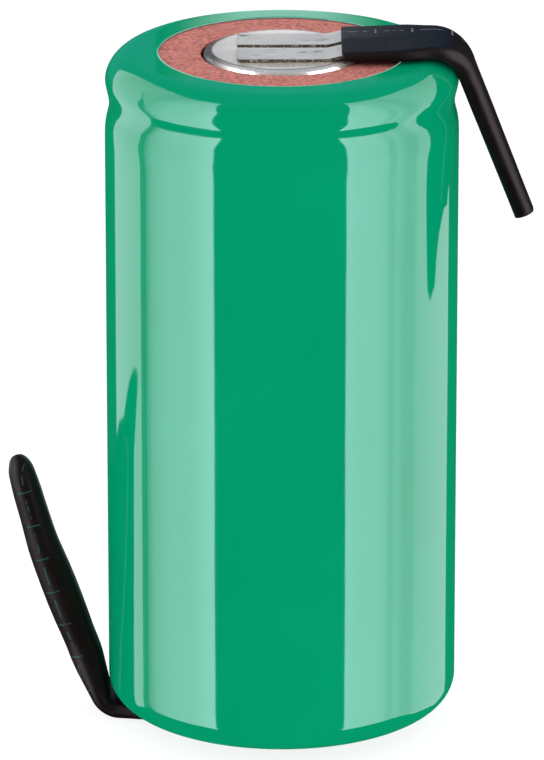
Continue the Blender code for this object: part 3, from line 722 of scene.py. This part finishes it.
def without_slot(mesh, places, slot):
    """A copy of a tag's mesh without the faces in its slot."""
    columns = 2 * TAG_LEG_COLUMNS - 1
    keep = []
    for face in mesh.polygons:
        row, column = divmod(face.index, columns)
        in_slot = slot[0] <= (places[row] + places[row + 1]) / 2 < slot[1]
        if column != TAG_LEG_COLUMNS - 1 or not in_slot:
            keep.append(list(face.vertices))
    cut = bpy.data.meshes.new(mesh.name + "_cut")
    cut.from_pydata([v.co[:] for v in mesh.vertices], [], keep)
    cut.shade_smooth()
    bpy.data.meshes.remove(mesh)
    return cut


def make_tag(name, lead, seed, material, edge_material, node):
    """Nickel strip: an open sheet with its slot left out and weld dimples pressed in, made solid."""
    places = np.unique(np.concatenate([np.arange(0, lead["tag_end"], TAG_ROW_SPACING), lead["slot"],
                                       [lead["tag_end"]]]))
    rounding = TAG_CORNER - np.sqrt(TAG_CORNER ** 2 - np.maximum(TAG_CORNER - places, 0) ** 2)
    half = lookup(lead["tag_width"], places) / 2 - rounding
    slot_half = SLOT_WIDTH / 2
    leg = slot_half + (half - slot_half)[:, None] * np.linspace(0, 1, TAG_LEG_COLUMNS)
    y = np.concatenate([-leg[:, ::-1], leg], axis=1)
    grid = beside_path(lead["path"], places, y, tag_relief(places[:, None], y, seed))
    strip = without_slot(mesh_from_grid(name, grid, False, False), places, lead["slot"])
    tag = add_piece(name, strip, material, node)
    strip.materials.append(edge_material)
    thick = tag.modifiers.new("thickness", "SOLIDIFY")
    thick.thickness = TAG_THICKNESS * MM
    thick.offset = 0
    thick.material_offset_rim = 1
    edge = tag.modifiers.new("edge", "BEVEL")
    edge.width = TAG_EDGE * MM
    edge.segments = 2
    edge.limit_method = "ANGLE"
    edge.angle_limit = math.radians(50)


# ---------------------------------------------------------------- floor and light
FLOOR_HALF_SIZE = 3.0     # metres
FLOOR_GREY = 0.2          # takes soft shadows
FLOOR_GLOW = 0.84         # keeps the floor pale


def make_floor():
    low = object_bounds()[0].z
    mesh = bpy.data.meshes.new("floor")
    corners = [(x * FLOOR_HALF_SIZE, y * FLOOR_HALF_SIZE, low)
               for x, y in ((-1, -1), (1, -1), (1, 1), (-1, 1))]
    mesh.from_pydata(corners, [], [(0, 1, 2, 3)])
    pale = Look("pale_floor", 0.9)
    pale.set(Base_Color=(FLOOR_GREY, FLOOR_GREY, FLOOR_GREY, 1.0))
    pale.set(Emission_Color=(1.0, 1.0, 1.0, 1.0), Emission_Strength=FLOOR_GLOW)
    floor = add_object("floor", mesh, pale.material)
    floor.visible_glossy = False


def glow_material():
    """A slightly cool light, as bright as the mesh's own glow values say."""
    material = bpy.data.materials.new("glow")
    material.use_nodes = True
    material.node_tree.nodes.clear()
    light = Nodes(material.node_tree)
    strength = light.put("ShaderNodeAttribute", {"attribute_name": "glow"}).outputs["Fac"]
    emission = light.put("ShaderNodeEmission", Color=(0.93, 1.0, 1.1, 1.0), Strength=strength)
    light.put("ShaderNodeOutputMaterial", Surface=emission.outputs[0])
    return material


CARD_DISTANCE = 200.0
BACK_DISTANCE = 60.0
LEFT_FLAG_DISTANCE = 60.0
RIGHT_FLAG_DISTANCE = 30.0
CARD_LOW = -125.0         # the lowest that a softbox reaches
BACK_LOW = -10.0
FLAG_LOW = -60.0
CARD_STEP = 0.25          # degrees from one column of a card to the next
CARD_ROWS = 24

# Softboxes as stops of (azimuth from the front, brightness, bottom, top)
LEFT_SOFTBOX = [
    (-124, 2.3, 260, 290), (-121, 2.3, 224, 290), (-118, 2.4, 188, 290), (-99, 2.4, 78, 345),
    (-97.2, 2.4, 50, 350), (-93.1, 2.5, 50, 374), (-93, 2.5, -82, 375), (-89, 3.4, -84, 405),
    (-83, 4.1, -88, 435), (-76, 5.0, -94, 472), (-68, 5.4, -99, 393), (-60, 5.9, -104, 315),
    (-53, 6.9, -109, 245), (-49, 7.6, -112, 204), (-46, 7.8, -114, 174), (-43.8, 7.7, -115, 60)]
LEFT_EDGE_CARD = [(-98.5, 0.5, -80, 50), (-96.5, 1.3, -80, 50), (-93, 2.5, -82, 50)]
LEFT_BACK_CARD = [
    (-148, 1.5, 97, 165), (-143, 1.6, 70, 202), (-137.5, 1.6, 30, 220), (-137, 1.6, CARD_LOW, 225),
    (-132.6, 1.75, CARD_LOW, 250), (-125, 2.1, CARD_LOW, 270), (-121, 2.3, CARD_LOW, 225),
    (-117, 2.4, -110, 187), (-111, 2.7, -95, 140), (-104, 2.9, -85, 100), (-103.2, 2.9, -84, 93),
    (-102.9, 0.05, -84, 91), (-102.3, 0.05, -84, 87), (-101.9, 0.5, -83, 84), (-99.8, 0.5, -81, 70),
    (-99.4, 0.05, -80, 67), (-98.9, 0.05, -80, 65)]
RIGHT_SOFTBOX = [
    (41.3, 7.6, -117, 60), (44.3, 7.3, -116, 169), (47.5, 6.8, -114, 200), (59, 6.3, -106, 315),
    (66, 5.9, -102, 380), (70, 5.2, -100, 425), (74, 3.8, -98, 460), (79, 4.5, -95, 500),
    (86, 3.2, -97, 410), (93.5, 2.9, -103, 360), (97.5, 3.5, -110, 335), (105.5, 3.1, CARD_LOW, 305),
    (110, 2.9, CARD_LOW, 290), (117, 2.6, CARD_LOW, 270), (122, 2.3, CARD_LOW, 255),
    (127, 2.0, CARD_LOW, 240), (132, 1.75, CARD_LOW, 210), (137.5, 1.6, CARD_LOW, 190),
    (138, 1.6, 50, 188), (148, 1.5, 97, 150)]

# The card behind the cell, the same on both sides: (azimuth from the back, brightness, top)
BACK_CARD_HALF = [(8.5, 0, 62.8), (7, 0.05, 62.6), (5, 0.5, 62), (2.6, 1.1, 61.6)]
BACK_CARD_MIDDLE = (180, 1.15, BACK_LOW, 61.4)

# Black flags, which hide softboxes from the film: (azimuth from the front, bottom, top)
LEFT_FLAG = [
    (-150, FLAG_LOW, -4), (-134, FLAG_LOW, -2.9), (-130.2, FLAG_LOW, -0.5), (-125.7, FLAG_LOW, 0.9),
    (-118.1, FLAG_LOW, 1.7), (-114.6, FLAG_LOW, 3.3), (-110.6, FLAG_LOW, 4.7), (-107.3, FLAG_LOW, 5.6),
    (-107, -14, 5.7), (-106.4, -8.4, 5.8), (-105.5, -0.2, 6.0), (-102.9, 2.6, 6.2), (-101, 5, 5.9)]
RIGHT_FLAG = [
    (90.6, 28, 29.5), (92.3, 22.3, 34), (93.2, 21.9, 38.5), (95.5, 21.2, 41), (98.7, 21.7, 43.8),
    (100.7, 22, 45), (102, 23.5, 46), (104.1, 24.7, 47.1), (105.5, 25.3, 48), (109.2, 26.1, 50.2),
    (114.6, 27.1, 52.3), (117.4, 28.5, 53.5), (122.2, 29.5, 55.5), (135, 32, 58), (150, 34, 60)]


def light_card(name, stops, material, distance=CARD_DISTANCE):
    """A card bent round the cell's axis, seen only in reflections. Azimuths are in degrees."""
    marks, brightness, bottom, top = (np.array(column, float) for column in zip(*stops))
    count = max(2, round((marks[-1] - marks[0]) / CARD_STEP) + 1)
    azimuth = np.linspace(marks[0], marks[-1], count)
    up = np.linspace(0, 1, CARD_ROWS)[:, None]
    low, high = np.interp(azimuth, marks, bottom), np.interp(azimuth, marks, top)
    turn = np.radians(azimuth)
    grid = np.stack([distance * np.sin(turn) + 0 * up, -distance * np.cos(turn) + 0 * up,
                     low + (high - low) * up], -1)
    mesh = mesh_from_grid(name, grid, False, False)
    glow = mesh.attributes.new("glow", "FLOAT", "POINT")
    glow.data.foreach_set("value", np.tile(np.interp(azimuth, marks, brightness), CARD_ROWS))
    card = add_object(name, mesh, material)
    card.visible_camera = False
    card.visible_diffuse = False
    card.visible_shadow = False


def unlit(stops):
    """A flag's stops with no brightness."""
    return [(azimuth, 0, bottom, top) for azimuth, bottom, top in stops]


def make_light_cards():
    glow = glow_material()
    before = [(180 - apart, brightness, BACK_LOW, top) for apart, brightness, top in BACK_CARD_HALF]
    after = [(180 + apart, brightness, BACK_LOW, top) for apart, brightness, top in BACK_CARD_HALF[::-1]]
    light_card("left_softbox", LEFT_SOFTBOX, glow)
    light_card("left_edge_card", LEFT_EDGE_CARD, glow)
    light_card("left_back_card", LEFT_BACK_CARD, glow)
    light_card("right_softbox", RIGHT_SOFTBOX, glow)
    light_card("back_card", before + [BACK_CARD_MIDDLE] + after, glow, BACK_DISTANCE)
    light_card("left_flag", unlit(LEFT_FLAG), glow, LEFT_FLAG_DISTANCE)
    light_card("right_flag", unlit(RIGHT_FLAG), glow, RIGHT_FLAG_DISTANCE)


def make_world():
    """Even white for the eye and for matt surfaces. Reflections see a dim cool ceiling and wall behind."""
    world = bpy.data.worlds.new("studio")
    bpy.context.scene.world = world
    world.use_nodes = True
    sky = Nodes(world.node_tree)
    direction = sky.put("ShaderNodeTexCoord").outputs["Generated"]
    behind = sky.span(sky.axis(direction, "Y"), 0.0, 1.0, -0.35, -0.15, "SMOOTHSTEP")
    above = sky.span(sky.axis(direction, "Z"), 0.0, 1.0, -0.2, 0.05, "SMOOTHSTEP")
    reflected = sky.mix(sky.math("MULTIPLY", behind, above), (0.01, 0.01, 0.01), (0.05, 0.15, 0.27))
    in_reflection = sky.put("ShaderNodeLightPath").outputs["Is Glossy Ray"]
    seen = sky.mix(in_reflection, (1.04, 1.04, 1.04), reflected)
    sky.give(sky.tree.nodes["Background"].inputs["Color"], seen)


# ---------------------------------------------------------------- camera
CAMERA_DISTANCE = 444.0
CAMERA_ELEVATION = 18.96  # degrees above the horizon
CAMERA_AIM = (-0.62, 0.0, 21.38)
CAMERA_LENS = 331.5


def make_camera():
    """A long lens from a little above. The cell stands a little right of the frame's middle."""
    elevation = math.radians(CAMERA_ELEVATION)
    camera = bpy.data.cameras.new("camera")
    camera.lens = CAMERA_LENS
    camera.sensor_width = 36.0
    camera.clip_start = 0.01
    camera.clip_end = 20.0
    holder = bpy.data.objects.new("camera", camera)
    back = Vector((0.0, -math.cos(elevation), math.sin(elevation)))
    holder.location = (Vector(CAMERA_AIM) + back * CAMERA_DISTANCE) * MM
    holder.rotation_euler = (math.pi / 2 - elevation, 0.0, 0.0)
    bpy.context.scene.collection.objects.link(holder)
    bpy.context.scene.camera = holder
    bpy.context.scene.view_settings.view_transform = "Standard"


make_camera()
dress_hidden_pieces()
make_film()
make_cap()
make_washer()

upper, lower = upper_lead(), lower_lead()
tag_metal, sheared_metal_painted_shade = tag_nickel(), sheared_edge_painted_shade()
upper_tube_look = black_tube("black_tube_upper", 1.55, (0.16, 0.2, 0.24))
lower_tube_look = black_tube("black_tube_lower", -1.6, (0.012, 0.06, 0.065))
make_tag("tag_strip_upper", upper, 5, tag_metal, sheared_metal_painted_shade, "positive_tag")
make_tag("tag_strip_lower", lower, 6, tag_metal, sheared_metal_painted_shade, "negative_tag")
make_tube("tube_upper", upper, 21, upper_tube_look, "positive_tube")
make_tube("tube_lower", lower, 22, lower_tube_look, "negative_tube")

make_floor()
make_light_cards()
make_world()
